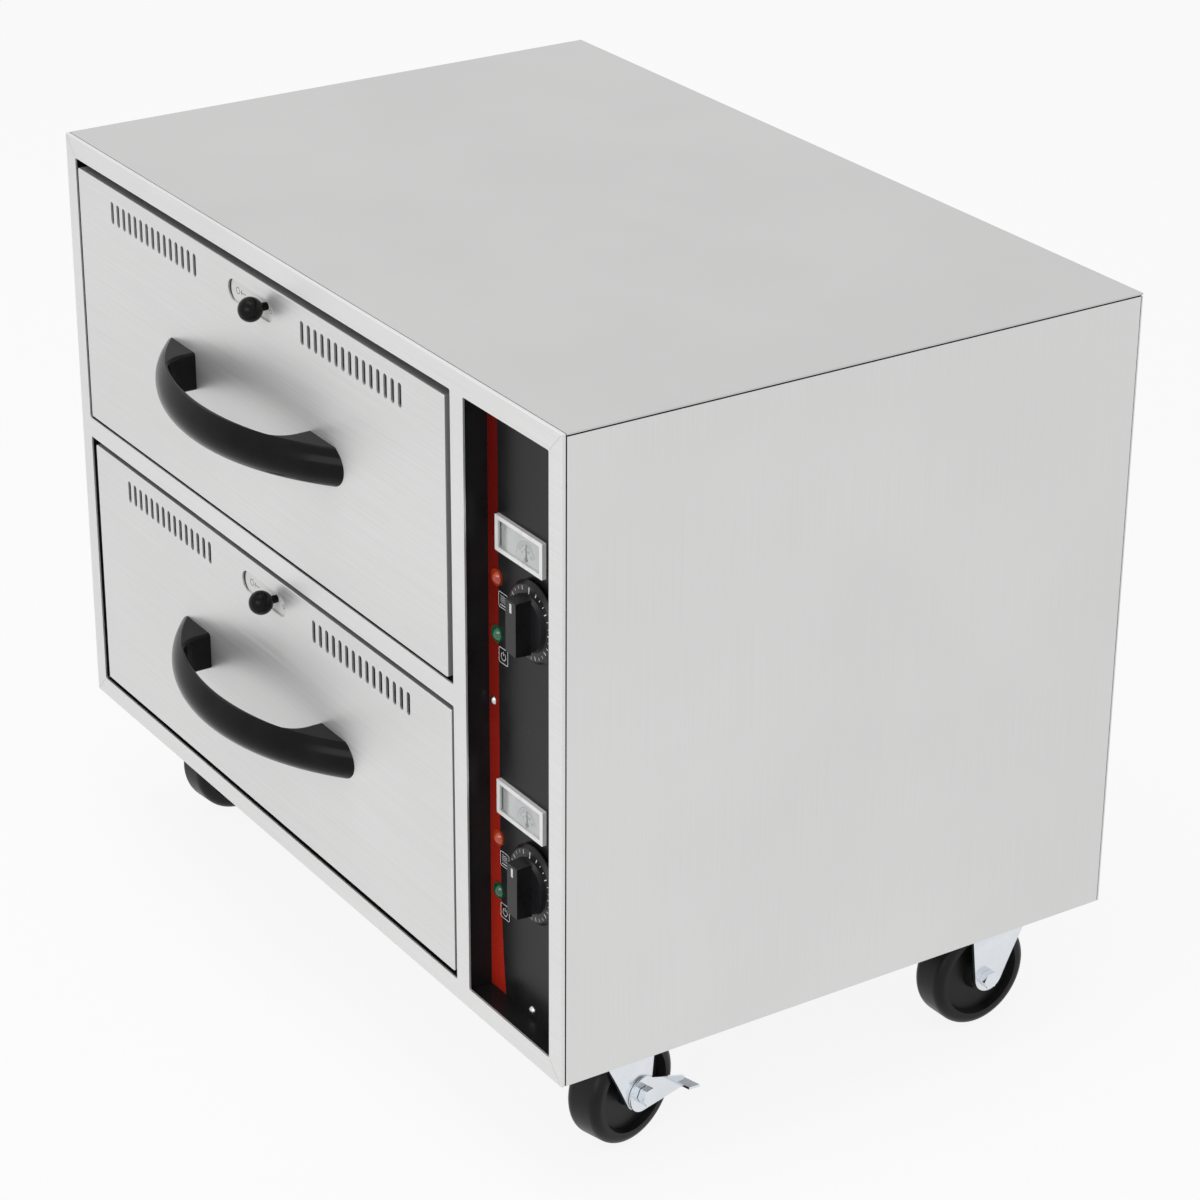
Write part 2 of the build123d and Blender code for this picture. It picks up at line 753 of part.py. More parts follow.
def drawer_slides(level, opening_z):
    """Moving members of a drawer's two slides."""
    z = slide_mid_z(opening_z)
    with BuildPart() as mid_members:
        for side in (-1, 1):
            channel(side, z, mid_height, mid_web, mid_lip, slide_y)
    save(mid_members, f"{level}_mid_slide_members")
    with BuildPart() as drawer_members:
        for side in (-1, 1):
            channel(side, z, inner_height, slide_depth, inner_lip_end, (slide_y[0], frame_y[1]))
    save(drawer_members, f"{level}_drawer_slide_members")


def handle(level, centre):
    """Bow handle: a crowned band revolved about an upright axis behind the drawer, with a finger arch."""
    z = centre[1] + front_height / 2 - handle_drop - handle_height / 2
    axis_y = front_y - handle_reach + handle_plan_radius
    facet_radius = handle_plan_radius - handle_crown
    core_radius = handle_plan_radius - handle_reach - handle_crown
    arch_y = front_y - handle_arch_depth + handle_arch_radius
    with BuildPart() as bow:
        section = Plane(origin=(centre[0], axis_y, z), x_dir=(0, -1, 0), z_dir=(-1, 0, 0))
        with BuildSketch(section):
            with BuildLine():
                corners = [(facet_radius, handle_height / 2), (core_radius, handle_height / 2)]
                corners += [(core_radius, -handle_height / 2), (facet_radius, -handle_height / 2)]
                Polyline(*corners)
                ThreePointArc(corners[3], (handle_plan_radius, 0), corners[0])
            make_face()
        revolve(axis=Axis((centre[0], axis_y, z), (0, 0, 1)))
        with BuildSketch(Plane.XY.offset(z - handle_height)):
            with Locations((centre[0], arch_y)):
                Circle(handle_arch_radius)
            with Locations((centre[0], front_y)):
                Rectangle(2 * handle_arch_half, 2 * handle_reach, mode=Mode.INTERSECT)
            fillet(vertices().group_by(Axis.Y)[0], radius=handle_arch_corner)
        extrude(amount=2 * handle_height, mode=Mode.SUBTRACT)
        facets = bow.faces().filter_by(Plane.XY).sort_by(Axis.Z)
        rims = (facets[0].edges() + facets[-1].edges()).filter_by(
            lambda edge: -handle_arch_depth - 1 < edge.center().Y - front_y < handle_reach
        )
        fillet(rims, radius=handle_arch_edge)
        split(bisect_by=front_plane(0), keep=Keep.TOP)
        with BuildSketch(front_plane(0)):
            with Locations(*[(centre[0] + i * handle_bolt_offset, z) for i in (-1, 1)]):
                Circle(handle_bolt_radius + bolt_clearance)
        extrude(amount=handle_bolt_reach + 1, mode=Mode.SUBTRACT)
    save(bow, f"{level}_handle")
    with BuildPart() as screws:
        with BuildSketch(front_plane(front_sheet)):
            with Locations(*[(centre[0] + i * handle_bolt_offset, z) for i in (-1, 1)]):
                Circle(handle_bolt_radius)
        extrude(amount=handle_bolt_reach + front_sheet)
        with BuildSketch(front_plane(front_sheet)):
            with Locations(*[(centre[0] + i * handle_bolt_offset, z) for i in (-1, 1)]):
                Circle(2 * handle_bolt_radius)
        extrude(amount=-handle_bolt_radius)
    save(screws, f"{level}_handle_screws")


def vent_slider(level, centre, phase):
    """Slotted plate behind a drawer front, with the ball knob riveted to it."""
    row_z = centre[1] + front_height / 2 - vent_drop
    shift = phase * slider_travel / 2
    ball_x = centre[0] + ball_shift + shift
    ball_z = row_z + ball_rise
    plate_depth = front_sheet + slider_gap
    with BuildPart() as plate:
        with BuildSketch(front_plane(plate_depth)):
            with Locations((centre[0] + shift, row_z)):
                Rectangle(2 * slider_half(), slider_height)
        extrude(amount=-slider_sheet)
        with BuildSketch(front_plane(plate_depth)):
            vent_row((centre[0], row_z), shift + slider_travel / 2)
            with Locations((ball_x, ball_z)):
                Circle(ball_rivet_radius + shaft_clearance)
        extrude(amount=-slider_sheet, mode=Mode.SUBTRACT)
    save(plate, f"{level}_vent_slider")
    with BuildPart() as knob:
        profile = Plane(origin=(ball_x, front_y, ball_z), x_dir=(0, 1, 0), z_dir=(1, 0, 0))
        rivet_end = plate_depth + slider_sheet
        with BuildSketch(profile):
            with Locations((-ball_reach, 0)):
                Circle(ball_radius)
            with BuildLine():
                Polyline(
                    (-ball_reach, 0),
                    (-ball_reach, ball_stem_radius + ball_stem_draft),
                    (plate_depth, ball_stem_radius),
                    (plate_depth, ball_rivet_radius),
                    (rivet_end, ball_rivet_radius),
                    (rivet_end, ball_rivet_head),
                    (rivet_end + ball_rivet_thick, ball_rivet_head),
                    (rivet_end + ball_rivet_thick, 0),
                    close=True,
                )
            make_face()
            with Locations((0, -ball_radius)):
                Rectangle(4 * ball_reach, 2 * ball_radius, mode=Mode.SUBTRACT)
        revolve(axis=Axis((ball_x, front_y, ball_z), (0, 1, 0)))
    save(knob, f"{level}_vent_knob")


drawers = (
    ("lower", lower_opening_z, lower_front_shift, -1),
    ("upper", upper_opening_z, upper_front_shift, 1),
)
for level, opening_z, shift, phase in drawers:
    front_centre = (bay_x + shift[0], opening_z + opening_height / 2 + shift[1])
    drawer_front(level, front_centre)
    drawer_inner_panel(level, front_centre)
    drawer_frame(level, opening_z)
    drawer_slides(level, opening_z)
    handle(level, front_centre)
    vent_slider(level, front_centre, phase)


# ---- control strip ----
set_lifts = (0.0, control_pitch)
thermometers = [(recess_left + thermometer_inset, base_z + thermometer_rise + lift) for lift in set_lifts]
heat_lamp_places = [(recess_left + lamp_inset, base_z + lamp_rise + lift) for lift in set_lifts]
power_lamp_places = [(recess_left + lamp_inset, base_z + power_lamp_rise + lift) for lift in set_lifts]
knob_places = [(recess_left + knob_inset, base_z + knob_rise + lift) for lift in set_lifts]
tray_width = recess_width + 2 * tray_margin
tray_height = recess_height + 2 * tray_margin
tray_low = base_z + edge_rail - tray_margin
tray_screws = [
    (tray_left + tray_screw_inset, cab_z),
    (recess_x, tray_low + tray_screw_inset),
    (recess_x, tray_low + tray_height - tray_screw_inset),
    (tray_left + tray_width - tray_screw_inset, cab_z),
]

window_size = (bezel_length - 2 * window_frame, bezel_height - 2 * window_rail)

with BuildPart() as control_tray:
    tray_size = (tray_width, tray_height)
    for wall, depth in ((tray_sheet, tray_floor_back - frame_sheet), (tray_flange, tray_sheet)):
        ring(front_plane(frame_sheet), (recess_x, cab_z), tray_size, wall, depth)
    with BuildSketch(front_plane(tray_depth)):
        with Locations((recess_x, cab_z)):
            Rectangle(tray_width, tray_height)
        with Locations(*thermometers):
            Rectangle(*[side + 2 * (thermometer_wall + snug) for side in window_size], mode=Mode.SUBTRACT)
        with Locations(*heat_lamp_places, *power_lamp_places):
            Circle(lamp_body_radius + snug, mode=Mode.SUBTRACT)
        with Locations(*knob_places):
            Circle(bush_radius + snug, mode=Mode.SUBTRACT)
        with Locations(*tray_screws):
            Circle(screw_shank_radius + bolt_clearance, mode=Mode.SUBTRACT)
    extrude(amount=-tray_sheet)
save(control_tray, "control_tray")

dial_depth = tray_depth - bezel_proud + dial_setback
lens_depth = tray_depth - bezel_proud + lens_setback
with BuildPart() as thermometer_bezels:
    for place in thermometers:
        with BuildSketch(front_plane(tray_depth - bezel_proud)):
            with Locations(place):
                RectangleRounded(bezel_length, bezel_height, bezel_corner)
                Rectangle(*window_size, mode=Mode.SUBTRACT)
        extrude(amount=-bezel_proud)
        body_back = tray_depth + thermometer_body
        ring(front_plane(tray_depth), place, window_size, thermometer_wall, thermometer_body)
        with BuildSketch(front_plane(body_back)):
            with Locations(place):
                Rectangle(window_size[0] + 2 * thermometer_wall, window_size[1] + 2 * thermometer_wall)
        extrude(amount=-thermometer_wall)
save(thermometer_bezels, "thermometer_bezels")

with BuildPart() as thermometer_dials:
    with BuildSketch(front_plane(dial_depth)):
        for place in thermometers:
            with Locations(place):
                Rectangle(window_size[0] - 2 * snug, window_size[1] - 2 * snug)
            with Locations((place[0] + needle_shift[0], place[1] + needle_shift[1])):
                Circle(needle_pin + shaft_clearance, mode=Mode.SUBTRACT)
    extrude(amount=-dial_sheet)
save(thermometer_dials, "thermometer_dials")

with BuildPart() as thermometer_lenses:
    with BuildSketch(front_plane(lens_depth)):
        with Locations(*thermometers):
            Rectangle(window_size[0] - 2 * snug, window_size[1] - 2 * snug)
    extrude(amount=-lens_sheet)
save(thermometer_lenses, "thermometer_lenses")


def thermometer_needle(level, place):
    """Pointer on its pin, in front of the dial."""
    pivot = (place[0] + needle_shift[0], place[1] + needle_shift[1])
    needle_depth = dial_depth - needle_gap - needle_thick
    with BuildPart() as needle:
        with BuildSketch(front_plane(needle_depth)):
            with Locations(pivot):
                Circle(needle_hub)
            with Locations((pivot[0], pivot[1] + needle_length / 2)):
                Trapezoid(2 * needle_root, needle_length, needle_flank)
        extrude(amount=-needle_thick)
        with BuildSketch(front_plane(needle_depth)):
            with Locations(pivot):
                Circle(needle_pin)
        extrude(amount=-(needle_thick + needle_gap + dial_sheet + needle_pin_end))
    save(needle, f"{level}_thermometer_needle")


def signal_lamps(node, places):
    """Round lenses with a domed face and a barrel through the tray."""
    dome_radius = lamp_radius - lamp_ledge
    rise, width = dome_mid(dome_radius, lamp_dome)
    with BuildPart() as lamps:
        for x, z in places:
            profile = Plane(origin=(x, front_y, z), x_dir=(0, 1, 0), z_dir=(1, 0, 0))
            face_depth = tray_depth - lamp_rim
            with BuildSketch(profile):
                with BuildLine():
                    Polyline(
                        (face_depth - lamp_dome, 0),
                        (tray_depth + lamp_body, 0),
                        (tray_depth + lamp_body, lamp_body_radius),
                        (tray_depth, lamp_body_radius),
                        (tray_depth, lamp_radius),
                        (face_depth, lamp_radius),
                        (face_depth, dome_radius),
                    )
                    dome_top = (face_depth - lamp_dome, 0)
                    ThreePointArc((face_depth, dome_radius), (face_depth - rise, width), dome_top)
                make_face()
            revolve(axis=Axis((x, front_y, z), (0, 1, 0)))
    save(lamps, node)


def thermostat_knob(level, place):
    """Skirted knob with a bar grip, on the switch's shaft."""
    x, z = place
    with BuildPart() as knob:
        profile = Plane(origin=(x, front_y, z), x_dir=(0, 1, 0), z_dir=(1, 0, 0))
        with BuildSketch(profile):
            with BuildLine():
                Polyline(
                    (knob_hub_front, 0),
                    (knob_shaft_end, 0),
                    (knob_shaft_end, knob_shaft_radius),
                    (skirt_back, knob_shaft_radius),
                    (skirt_back, skirt_radius),
                    (skirt_back - skirt_rim, skirt_radius),
                    (skirt_front, skirt_radius - skirt_bevel),
                    (skirt_front - skirt_dish, knob_hub_radius + knob_hub_draft),
                    (knob_hub_front, knob_hub_radius),
                    close=True,
                )
            make_face()
        revolve(axis=Axis((x, front_y, z), (0, 1, 0)))
        with BuildSketch(front_plane(grip_front)):
            with Locations((x, z)):
                Rectangle(grip_width, grip_length)
        extrude(amount=-(knob_hub_front - grip_front + grip_root), taper=-grip_draft)
    save(knob, f"{level}_thermostat_knob")


signal_lamps("heat_lamps", heat_lamp_places)
signal_lamps("power_lamps", power_lamp_places)
for level, thermometer, knob_place in zip(("lower", "upper"), thermometers, knob_places):
    thermometer_needle(level, thermometer)
    thermostat_knob(level, knob_place)

with BuildPart() as thermostats:
    for place in knob_places:
        with BuildSketch(front_plane(tray_floor_back)):
            with Locations(place):
                RectangleRounded(thermostat_width, thermostat_height, thermostat_corner)
        extrude(amount=-thermostat_depth)
        with BuildSketch(front_plane(tray_floor_back)):
            with Locations(place):
                Circle(bush_radius)
        extrude(amount=tray_sheet + bush_proud)
        with BuildSketch(front_plane(tray_depth - bush_proud)):
            with Locations(place):
                Circle(knob_shaft_radius + shaft_clearance)
        extrude(amount=-(knob_shaft_end - tray_depth + bush_proud + shaft_end_gap), mode=Mode.SUBTRACT)
save(thermostats, "thermostats")

with BuildPart() as thermostat_bulbs:
    bulb_x = liner_right - bulb_radius - wool_gap
    thermostat_back = front_y + tray_floor_back + thermostat_depth
    for place, opening_z in zip(knob_places, (lower_opening_z, upper_opening_z)):
        bulb_z = opening_z + opening_height - bulb_drop
        bulb_y = front_y + bulb_start
        bulb_end = bulb_y + bulb_length - capillary_root
        turn_y = front_y + capillary_turn
        with BuildSketch(Plane.XZ.offset(-bulb_y)):
            with Locations((bulb_x, bulb_z)):
                Circle(bulb_radius)
        extrude(amount=-bulb_length)
        with BuildLine() as capillary_path:
            FilletPolyline(
                (bulb_x, bulb_end, bulb_z),
                (bulb_x, turn_y, bulb_z),
                (place[0], turn_y, bulb_z),
                (place[0], turn_y, place[1]),
                (place[0], thermostat_back, place[1]),
                radius=[capillary_exit, capillary_bend, capillary_bend],
            )
        with BuildSketch(Plane.XZ.offset(-bulb_end)):
            with Locations((bulb_x, bulb_z)):
                Circle(capillary_radius)
        sweep(path=capillary_path.wires()[0])
save(thermostat_bulbs, "thermostat_bulbs")

with BuildPart() as cabinet_screws:
    back_half = right_x - sheet - panel_flange / 2
    back_places = [(side * back_half, z) for side in (-1, 1) for z in back_screw_zs]
    for places, seat, outward in ((tray_screws, front_y + tray_depth, -1), (back_places, back_y, 1)):
        for x, z in places:
            profile = Plane(origin=(x, seat, z), x_dir=(0, outward, 0), z_dir=(1, 0, 0))
            with BuildSketch(profile):
                with BuildLine():
                    Polyline(
                        (screw_head_height, 0),
                        (-screw_length, 0),
                        (-screw_length, screw_shank_radius),
                        (0, screw_shank_radius),
                        (0, screw_head_radius),
                    )
                    dome = dome_mid(screw_head_radius, screw_head_height)
                    ThreePointArc((0, screw_head_radius), dome, (screw_head_height, 0))
                make_face()
            revolve(axis=Axis((x, seat, z), (0, 1, 0)))
save(cabinet_screws, "cabinet_screws")

with BuildPart() as terminal_block:
    block_y = back_y - block_inset
    block_z = base_z + sheet
    block_x = recess_x + block_shift
    block(
        (block_x - block_length / 2, block_x + block_length / 2),
        (block_y - block_depth / 2, block_y + block_depth / 2),
        (block_z, block_z + block_height),
    )
    hanging = (Align.CENTER, Align.CENTER, Align.MAX)
    with Locations((block_x, block_y, block_z + block_height)):
        with GridLocations(block_length / block_ways, 1, block_ways, 1):
            Cylinder(block_well_radius, block_well, align=hanging, mode=Mode.SUBTRACT)
            Cylinder(block_screw_radius, block_screw, align=hanging)
save(terminal_block, "terminal_block")

with BuildPart() as cable_gland:
    gland_start = skin_back_y - gland_nut_length - gland_thread_end
    with BuildSketch(Plane.XZ.offset(-gland_start)):
        with Locations((gland_x, gland_z)):
            Circle(gland_thread)
    extrude(amount=-(back_y + gland_nut_length - gland_start))
    for start, length in ((skin_back_y, gland_nut_length), (back_y, -gland_nut_length)):
        with BuildSketch(Plane.XZ.offset(-start)):
            with Locations((gland_x, gland_z)):
                RegularPolygon(gland_nut, 6)
        extrude(amount=length)
    with BuildSketch(Plane.XZ.offset(-(back_y + gland_nut_length))):
        with Locations((gland_x, gland_z)):
            Circle(gland_cap)
    extrude(amount=-(gland_reach - gland_nut_length), taper=gland_cap_draft)
    with BuildSketch(Plane.XZ.offset(-gland_start)):
        with Locations((gland_x, gland_z)):
            Circle(gland_bore)
    extrude(amount=-(back_y + gland_reach - gland_start), mode=Mode.SUBTRACT)
save(cable_gland, "cable_gland")


# ---- casters ----
crown_top = caster_height - plate_thick - race_height - swivel_gap
crown_low = crown_top - crown_thick - crown_ring
crown_mid = crown_low + crown_thick
leg_outer = leg_inner + leg_thick

with BuildPart() as caster_top_plates:
    for _, x, y, _, _ in caster_places:
        with BuildSketch(Plane.XY.offset(caster_height - plate_thick)):
            with Locations((x, y)):
                RectangleRounded(plate_length, plate_width, plate_corner)
                with GridLocations(2 * plate_bolt_x, 2 * plate_bolt_y, 2, 2):
                    Circle(bolt_radius + bolt_clearance, mode=Mode.SUBTRACT)
        extrude(amount=plate_thick)
        king_low = crown_low - 2 * swivel_gap - king_head_thick
        for low, high, radius in (
            (crown_top + swivel_gap, caster_height - plate_thick, race_radius),
            (king_low, caster_height - plate_thick, king_radius),
            (king_low, crown_low - swivel_gap, king_head),
        ):
            with BuildSketch(Plane.XY.offset(low)):
                with Locations((x, y)):
                    Circle(radius)
            extrude(amount=high - low)
save(caster_top_plates, "caster_top_plates")

with BuildPart() as caster_bolts:
    nut_low = base_z + sheet
    head_low = caster_height - plate_thick - bolt_head
    for low, high, radius, flats in (
        (head_low, caster_height - plate_thick, bolt_hex_radius, True),
        (head_low, nut_low + bolt_head + bolt_end, bolt_radius, False),
        (nut_low, nut_low + bolt_head, bolt_hex_radius, True),
    ):
        with BuildSketch(Plane.XY.offset(low)):
            with Locations(*plate_bolts):
                if flats:
                    RegularPolygon(radius, 6)
                else:
                    Circle(radius)
        extrude(amount=high - low)
save(caster_bolts, "caster_bolts")


def caster(corner, x, y, yaw, trail_way, braked):
    """Swivel fork with its axle bolt, the wheel and, where braked, the lever."""
    turned = Plane.XY.rotated((0, 0, yaw if trail_way > 0 else yaw + 180))
    frame_plane = Plane(origin=(x, y, 0), x_dir=turned.x_dir, z_dir=(0, 0, 1))
    side = Plane(origin=(x, y, 0), x_dir=frame_plane.y_dir, z_dir=frame_plane.x_dir)
    axle = Vector(x, y, wheel_radius) + frame_plane.y_dir * caster_trail
    axle_axis = Axis(axle, frame_plane.x_dir)
    across = Plane(origin=axle, x_dir=frame_plane.x_dir, z_dir=-frame_plane.y_dir)
    fork(corner, frame_plane, side, braked)
    wheel(corner, across, axle_axis)
    if braked:
        brake_lever(corner, side)


def fork(corner, frame_plane, side, braked):
    """Crown, two legs and the axle bolt. The bolt is a solid of its own."""
    with BuildPart() as fork_part:
        with BuildSketch(frame_plane.offset(crown_low)):
            Circle(crown_radius)
            with Locations((0, (crown_rear - crown_front) / 2)):
                Rectangle(2 * leg_outer, crown_rear + crown_front)
            Circle(king_radius + shaft_clearance, mode=Mode.SUBTRACT)
        extrude(amount=crown_thick)
        with BuildSketch(frame_plane.offset(crown_mid)):
            Circle(crown_ring_outer)
            Circle(crown_ring_inner, mode=Mode.SUBTRACT)
        extrude(amount=crown_ring)
        for way in (-1, 1):
            start = leg_inner if way > 0 else -leg_outer
            with BuildSketch(side.offset(start)):
                with BuildLine():
                    heel = (caster_trail + leg_heel, wheel_radius)
                    toe = (caster_trail - leg_toe[0], wheel_radius - leg_toe[1])
                    Polyline((-crown_front, crown_mid), (crown_rear, crown_mid), heel)
                    ThreePointArc(heel, (caster_trail, wheel_radius - leg_foot), toe)
                    ThreePointArc(toe, (leg_waist[0], wheel_radius + leg_waist[1]), (-crown_front, crown_mid))
                make_face()
                with Locations((caster_trail, wheel_radius)):
                    Circle(axle_radius + axle_clearance, mode=Mode.SUBTRACT)
            extrude(amount=leg_thick)
        near = leg_outer + head_gap
        far = near + (lever_thick + 2 * lever_gap if braked else 0)
        for start, end, flats in (
            (-near - axle_head, far + axle_head, False),
            (-near - axle_head, -near, True),
            (far, far + axle_head, True),
        ):
            with BuildSketch(side.offset(start)):
                with Locations((caster_trail, wheel_radius)):
                    if flats:
                        RegularPolygon(bolt_hex_radius, 6)
                    else:
                        Circle(axle_radius)
            extrude(amount=end - start)
    save(fork_part, f"{corner}_caster_fork")


def wheel(corner, across, axle_axis):
    """Wheel with a rounded tread, dished sides and a hub."""
    half = wheel_width / 2
    web = (half - dish_depth, wheel_radius - rim_band - dish_draft)
    hub_foot = (half - dish_depth, hub_radius + hub_draft)
    hub_edge = (hub_half, hub_radius - hub_draft)
    bore_edge = (hub_half, axle_radius + axle_clearance)
    with BuildPart() as wheel_part:
        with BuildSketch(across):
            with BuildLine():
                Polyline(
                    (-half, wheel_radius - tread_round),
                    (-half, wheel_radius - rim_band),
                    *[(-x, r) for x, r in (web, hub_foot, hub_edge, bore_edge)],
                    *(bore_edge, hub_edge, hub_foot, web),
                    (half, wheel_radius - rim_band),
                    (half, wheel_radius - tread_round),
                )
                bulge = tread_round * (1 - sqrt(0.5))
                ThreePointArc(
                    (half, wheel_radius - tread_round),
                    (half - bulge, wheel_radius - bulge),
                    (half - tread_round, wheel_radius),
                )
                Line((half - tread_round, wheel_radius), (-half + tread_round, wheel_radius))
                ThreePointArc(
                    (-half + tread_round, wheel_radius),
                    (-half + bulge, wheel_radius - bulge),
                    (-half, wheel_radius - tread_round),
                )
            make_face()
        revolve(axis=axle_axis)
    save(wheel_part, f"{corner}_wheel")


def brake_lever(corner, side):
    """Plate on the axle bolt with a tab bent outward at its tip."""
    start = leg_outer + lever_gap
    tip = caster_trail + lever_reach
    upper_edge = wheel_radius - lever_tip_drop
    tab_root = (tip - lever_tab_length, upper_edge + lever_tab_rise)
    tab_tip = (tip, upper_edge - lever_tab_rise)
    with BuildPart() as lever:
        with BuildSketch(side.offset(start)):
            with Locations((caster_trail, wheel_radius)):
                Circle(lever_eye)
            with BuildLine():
                Polyline(
                    (caster_trail, wheel_radius + lever_eye),
                    (caster_trail, wheel_radius - lever_eye),
                    (tip, upper_edge - lever_tip_height),
                    (tip, upper_edge),
                    close=True,
                )
            make_face()
            with Locations((caster_trail, wheel_radius)):
                Circle(axle_radius + axle_clearance, mode=Mode.SUBTRACT)
        extrude(amount=lever_thick)
        with BuildSketch(side.offset(start)):
            with BuildLine():
                Polyline(
                    tab_root,
                    tab_tip,
                    (tab_tip[0], tab_tip[1] - lever_thick),
                    (tab_root[0], tab_root[1] - lever_thick),
                    close=True,
                )
            make_face()
        extrude(amount=lever_tab_width)
    save(lever, f"{corner}_brake_lever")


for corner, x, y, yaw, trail_way in caster_places:
    caster(corner, x, y, yaw, trail_way, braked=trail_way > 0)
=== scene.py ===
import bpy
from math import cos, pi, radians, sin, sqrt
from mathutils import Matrix, Vector


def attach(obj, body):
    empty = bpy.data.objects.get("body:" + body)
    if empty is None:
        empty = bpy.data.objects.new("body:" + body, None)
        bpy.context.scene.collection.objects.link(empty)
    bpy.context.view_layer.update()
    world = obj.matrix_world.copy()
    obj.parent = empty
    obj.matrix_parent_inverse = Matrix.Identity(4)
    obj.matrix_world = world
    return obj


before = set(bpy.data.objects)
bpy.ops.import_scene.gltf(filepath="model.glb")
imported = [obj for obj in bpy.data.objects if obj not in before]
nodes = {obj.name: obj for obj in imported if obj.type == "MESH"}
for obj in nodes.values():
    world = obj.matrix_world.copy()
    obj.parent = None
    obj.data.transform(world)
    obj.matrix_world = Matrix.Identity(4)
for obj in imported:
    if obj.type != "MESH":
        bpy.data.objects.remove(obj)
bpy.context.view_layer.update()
LEVELS = ("lower", "upper")
FRONT_CORNERS = ("front_left", "front_right")
CORNERS = FRONT_CORNERS + ("rear_left", "rear_right")
MM = 0.001


# ---- materials ----
def new_material(name):
    material = bpy.data.materials.new(name)
    material.use_nodes = True
    return material, material.node_tree, material.node_tree.nodes["Principled BSDF"]


def add_node(tree, kind, **values):
    node = tree.nodes.new(kind)
    for key, value in values.items():
        setattr(node, key, value)
    return node


def grain(tree, scale, detail=4.0, roughness=0.6):
    """Noise stretched along the axes whose scale is small; coordinates are the object's own, in metres."""
    coords = add_node(tree, "ShaderNodeTexCoord")
    mapping = add_node(tree, "ShaderNodeMapping")
    mapping.inputs["Scale"].default_value = scale
    noise = add_node(tree, "ShaderNodeTexNoise")
    noise.inputs["Scale"].default_value = 1.0
    noise.inputs["Detail"].default_value = detail
    noise.inputs["Roughness"].default_value = roughness
    tree.links.new(coords.outputs["Object"], mapping.inputs["Vector"])
    tree.links.new(mapping.outputs["Vector"], noise.inputs["Vector"])
    return noise.outputs["Fac"]


def spread(tree, source, low, high, start=0.3, end=0.7):
    """Map a value between start and end to a range of numbers."""
    node = add_node(tree, "ShaderNodeMapRange")
    node.inputs["From Min"].default_value = start
    node.inputs["From Max"].default_value = end
    node.inputs["To Min"].default_value = low
    node.inputs["To Max"].default_value = high
    tree.links.new(source, node.inputs["Value"])
    return node.outputs["Result"]


def tint(tree, source, dark, light):
    """Mix two colours by a noise value."""
    node = add_node(tree, "ShaderNodeMix", data_type="RGBA")
    node.inputs["A"].default_value = (*dark, 1)
    node.inputs["B"].default_value = (*light, 1)
    tree.links.new(spread(tree, source, 0, 1), node.inputs["Factor"])
    return node.outputs["Result"]


def multiplied(tree, first, second):
    """Multiply two colours."""
    node = add_node(tree, "ShaderNodeMix", data_type="RGBA", blend_type="MULTIPLY")
    node.inputs["Factor"].default_value = 1.0
    tree.links.new(first, node.inputs["A"])
    tree.links.new(second, node.inputs["B"])
    return node.outputs["Result"]


def bump(tree, bsdf, source, strength):
    node = add_node(tree, "ShaderNodeBump")
    node.inputs["Strength"].default_value = strength
    node.inputs["Distance"].default_value = 0.0001
    tree.links.new(source, node.inputs["Height"])
    tree.links.new(node.outputs["Normal"], bsdf.inputs["Normal"])


def steel(name, tone, scale, rough=(0.30, 0.44), streak=0.035, relief=0.12, cast=(1.0, 1.0, 0.995),
          metallic=1.0):
    """Brushed or rolled metal: streaks in colour, roughness and relief, with broad cloudy variation."""
    material, tree, bsdf = new_material(name)
    fine = grain(tree, scale)
    cloud = grain(tree, (5.0, 5.0, 5.0), 2.0)
    colours = [tuple(tone * c * share for c in cast) for share in (1 - streak, 1 + streak)]
    streaks = tint(tree, fine, *colours)
    clouds = tint(tree, cloud, (0.96, 0.96, 0.96), (1.0, 1.0, 1.0))
    tree.links.new(multiplied(tree, streaks, clouds), bsdf.inputs["Base Color"])
    tree.links.new(spread(tree, fine, *rough), bsdf.inputs["Roughness"])
    bsdf.inputs["Metallic"].default_value = metallic
    bump(tree, bsdf, fine, relief)
    return material


def plastic(name, dark, light, rough, scale=400.0, relief=0.05, coat=0.0, shine=0.5):
    """Moulded or painted surface with a fine texture and faint wear."""
    material, tree, bsdf = new_material(name)
    fine = grain(tree, (scale,) * 3)
    wear = grain(tree, (30.0,) * 3, 3.0)
    tree.links.new(tint(tree, wear, dark, light), bsdf.inputs["Base Color"])
    tree.links.new(spread(tree, wear, *rough), bsdf.inputs["Roughness"])
    bsdf.inputs["Coat Weight"].default_value = coat
    bsdf.inputs["Coat Roughness"].default_value = 0.08
    bsdf.inputs["Specular IOR Level"].default_value = shine
    bump(tree, bsdf, fine, relief)
    return material


def lens(name, dark, light, transmission, rough=(0.08, 0.16)):
    """Clear or coloured translucent moulding."""
    material = plastic(name, dark, light, rough, 900.0, 0.01, coat=0.6)
    bsdf = material.node_tree.nodes["Principled BSDF"]
    bsdf.inputs["Transmission Weight"].default_value = transmission
    bsdf.inputs["IOR"].default_value = 1.46
    return material


def film_print_with_painted_shade(name, foot, shaded_head):
    """Printed film with painted shade: its colour darkens from its foot to its head, where the wall beside it
    shades it.
    """
    material = plastic(name, shaded_head, foot, (0.22, 0.32), 700, 0.04, shine=0.3)
    tree = material.node_tree
    coords = add_node(tree, "ShaderNodeTexCoord")
    split = add_node(tree, "ShaderNodeSeparateXYZ")
    tree.links.new(coords.outputs["Object"], split.inputs["Vector"])
    shade_by_height = spread(tree, split.outputs["Z"], 0.3, 0.7, 0.14, 0.50)
    wear = tint(tree, grain(tree, (30.0,) * 3, 3.0), (0.85, 0.85, 0.85), (1.0, 1.0, 1.0))
    colour = multiplied(tree, tint(tree, shade_by_height, foot, shaded_head), wear)
    tree.links.new(colour, tree.nodes["Principled BSDF"].inputs["Base Color"])
    return material


def grey(tone):
    return (tone, tone, tone)


